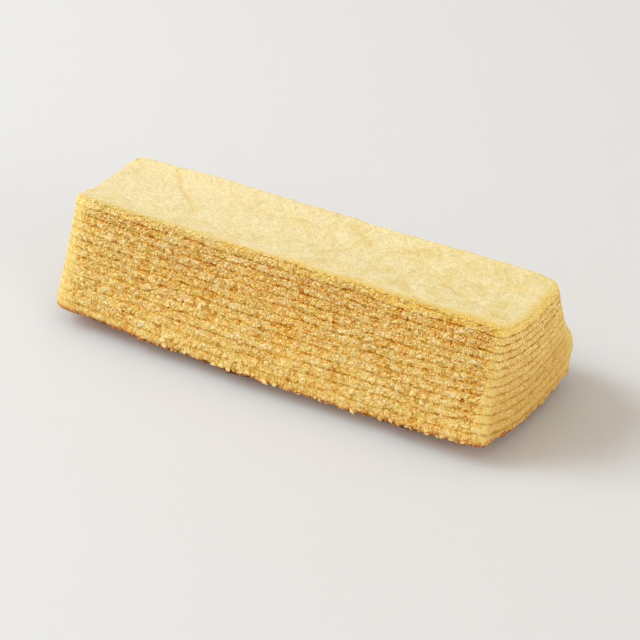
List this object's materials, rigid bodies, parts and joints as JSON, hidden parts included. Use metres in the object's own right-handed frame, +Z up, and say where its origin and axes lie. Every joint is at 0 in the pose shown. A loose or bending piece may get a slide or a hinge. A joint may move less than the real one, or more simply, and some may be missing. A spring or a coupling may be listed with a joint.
{
  "type": "baumkuchen",
  "caption": "Bar of layered spit cake, cut across its rings, with a pale smooth top, a browned crust underneath and torn layered crumb on its sides.",
  "frame": {"origin": "under the middle of the bar's box, at the level of the flat spot of crust that it rests on", "axes": "+X along the bar's length towards its right end, +Y towards the back face, +Z up from the crust to the skin"},
  "size_m": [0.1438, 0.0532, 0.0376],
  "materials": {
    "sponge": "matt layered sponge crumb, pale cream skin on top, browned crust underneath"
  },
  "bodies": {
    "root": {"baumkuchen_bar": "sponge"}
  },
  "joints": []
}
